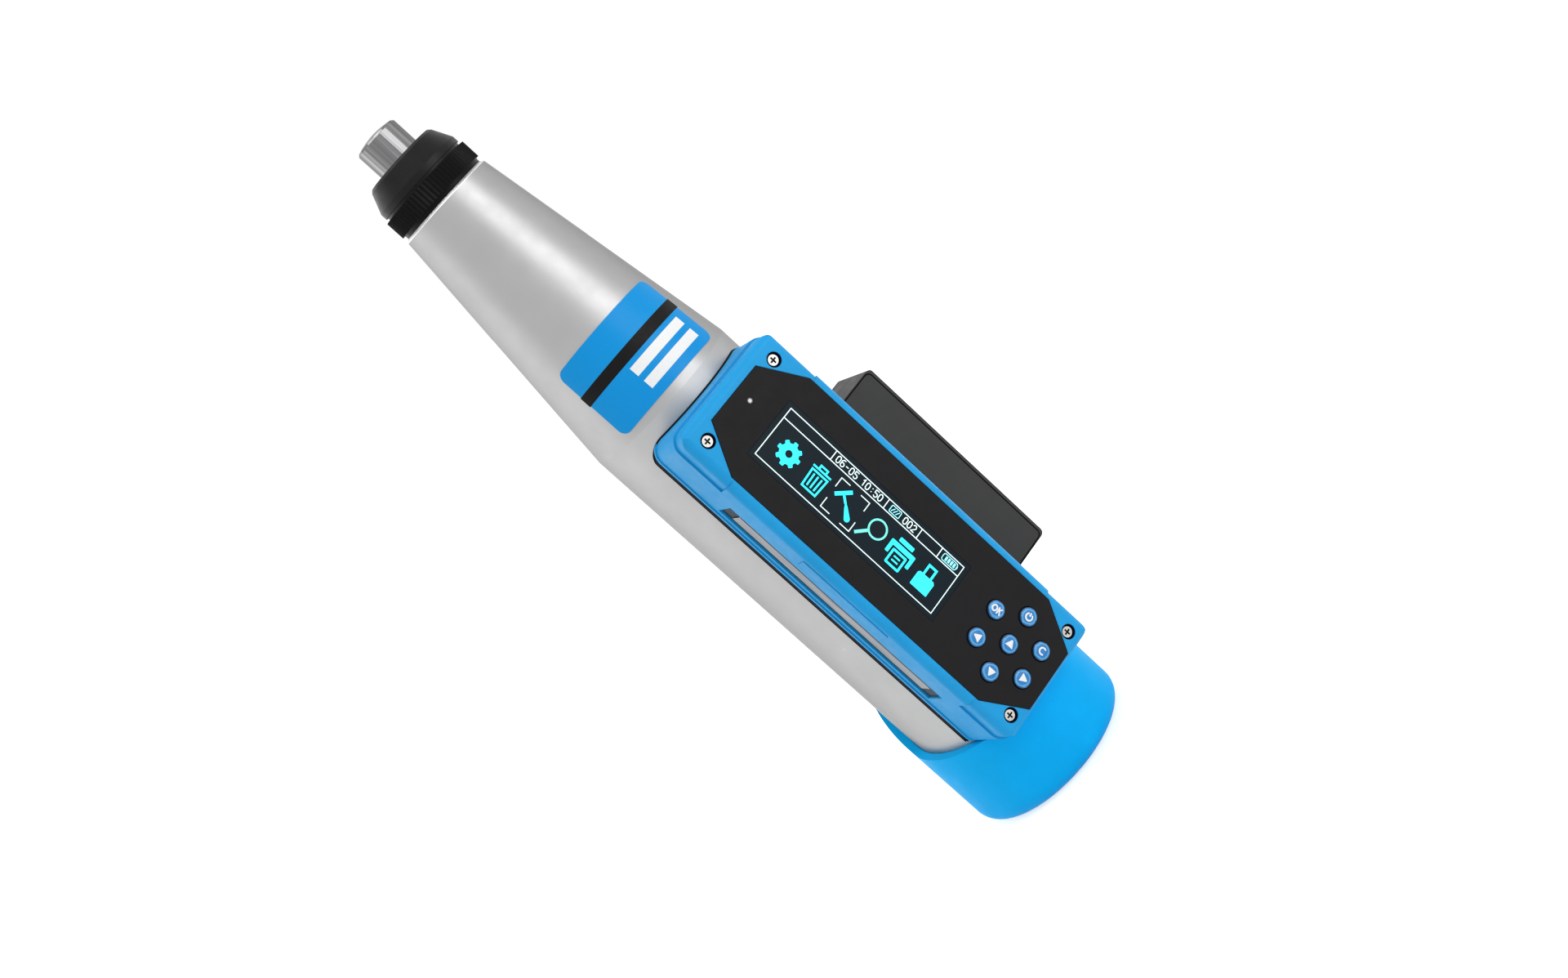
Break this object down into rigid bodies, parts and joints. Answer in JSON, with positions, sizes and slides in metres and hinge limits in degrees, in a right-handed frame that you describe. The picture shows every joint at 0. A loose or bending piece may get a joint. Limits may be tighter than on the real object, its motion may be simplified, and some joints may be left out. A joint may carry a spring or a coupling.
{
  "type": "digital rebound hammer",
  "caption": "Hand-held digital rebound hammer for testing concrete: turned aluminium body with a spring-driven mass and plunger, a side sensor box, and a blue display case with round keys.",
  "frame": {"origin": "centre of the flat end of the rubber boot, on the tool's long axis", "axes": "+Z runs along the tool from the boot to the plunger's tip, -Y faces out of the display and keys, +X points to the sensor box"},
  "size_m": [0.0804, 0.0742, 0.2819],
  "materials": {
    "silver_body": "satin, turned and anodised",
    "label": "printed film",
    "black_metal": "black oxide, semi-gloss",
    "steel": "ground",
    "spring_steel": "drawn wire",
    "felt": "pressed felt",
    "cover_aluminium": "turned",
    "strip_aluminium": "satin",
    "boot_rubber": "smooth, slightly shiny",
    "blue_plastic": "moulded, fine satin",
    "box_plastic": "moulded, fine grain",
    "inner_plastic": "moulded",
    "black_rubber": "matt",
    "faceplate": "printed film on plastic, satin",
    "lens": "clear, over a dark display",
    "circuit_board": "solder mask",
    "battery": "shrink film",
    "key_plastic": "satin",
    "led": "clear"
  },
  "bodies": {
    "housing": {"housing": "silver_body", "label": "label", "nose_cap": "black_metal", "lock_ring": "black_metal", "two_part_ring": "steel", "felt_washer": "felt", "guide_sleeve": "steel", "impact_spring": "spring_steel", "return_spring": "spring_steel", "rear_cover": "cover_aluminium", "trip_screw": "steel", "trip_lock_nut": "steel", "rear_boot": "boot_rubber", "lock_bush": "steel", "lock_spring": "spring_steel", "sensor_base": "box_plastic", "sensor_cover": "box_plastic", "sensor_board": "circuit_board", "cover_screws": "steel", "rider_rail": "steel", "case_base": "inner_plastic", "base_screws": "steel", "case_gasket": "black_rubber", "display_case": "blue_plastic", "faceplate": "faceplate", "display_lens": "lens", "oled_module": "inner_plastic", "main_board": "circuit_board", "battery": "battery", "keypad_mat": "black_rubber", "status_led": "led", "case_screws": "steel", "side_strips": "strip_aluminium"},
    "plunger": {"plunger": "steel", "retaining_spring": "spring_steel", "guide_bar": "steel", "guide_disk": "steel", "pawl_pin": "steel", "pawl_spring": "spring_steel"},
    "hammer_mass": {"hammer_mass": "steel"},
    "pawl": {"pawl": "steel"},
    "rider": {"rider": "inner_plastic"},
    "lock_button": {"lock_button": "steel"},
    "key_power": {"key_power": "key_plastic"},
    "key_ok": {"key_ok": "key_plastic"},
    "key_clear": {"key_clear": "key_plastic"},
    "key_up": {"key_up": "key_plastic"},
    "key_left": {"key_left": "key_plastic"},
    "key_right": {"key_right": "key_plastic"},
    "key_down": {"key_down": "key_plastic"}
  },
  "joints": [
    {"name": "plunger_slide", "type": "slide", "parent": "housing", "child": "plunger", "axis": [0, 0, 1], "range_m": [0, 0.075], "deforming": ["return_spring"]},
    {"name": "mass_slide", "type": "slide", "parent": "plunger", "child": "hammer_mass", "axis": [0, 0, -1], "range_m": [0, 0.075], "stiffness_N_per_m": 785, "springref_m": -0.006, "deforming": ["impact_spring"]},
    {"name": "pawl_hinge", "type": "hinge", "parent": "plunger", "child": "pawl", "pos_m": [-0.013, 0, 0.0279], "axis": [0, 1, 0], "range_deg": [0, 12], "deforming": ["pawl_spring"]},
    {"name": "rider_slide", "type": "slide", "parent": "housing", "child": "rider", "axis": [0, 0, -1], "range_m": [0, 0.057]},
    {"name": "lock_slide", "type": "slide", "parent": "housing", "child": "lock_button", "axis": [0, 1, 0], "range_m": [0, 0.003], "deforming": ["lock_spring"]},
    {"name": "key_power_press", "type": "slide", "parent": "housing", "child": "key_power", "axis": [0, 1, 0], "range_m": [0, 0.0008], "stiffness_N_per_m": 300, "springref_m": -0.002},
    {"name": "key_ok_press", "type": "slide", "parent": "housing", "child": "key_ok", "axis": [0, 1, 0], "range_m": [0, 0.0008], "stiffness_N_per_m": 300, "springref_m": -0.002},
    {"name": "key_clear_press", "type": "slide", "parent": "housing", "child": "key_clear", "axis": [0, 1, 0], "range_m": [0, 0.0008], "stiffness_N_per_m": 300, "springref_m": -0.002},
    {"name": "key_up_press", "type": "slide", "parent": "housing", "child": "key_up", "axis": [0, 1, 0], "range_m": [0, 0.0008], "stiffness_N_per_m": 300, "springref_m": -0.002},
    {"name": "key_left_press", "type": "slide", "parent": "housing", "child": "key_left", "axis": [0, 1, 0], "range_m": [0, 0.0008], "stiffness_N_per_m": 300, "springref_m": -0.002},
    {"name": "key_right_press", "type": "slide", "parent": "housing", "child": "key_right", "axis": [0, 1, 0], "range_m": [0, 0.0008], "stiffness_N_per_m": 300, "springref_m": -0.002},
    {"name": "key_down_press", "type": "slide", "parent": "housing", "child": "key_down", "axis": [0, 1, 0], "range_m": [0, 0.0008], "stiffness_N_per_m": 300, "springref_m": -0.002}
  ]
}
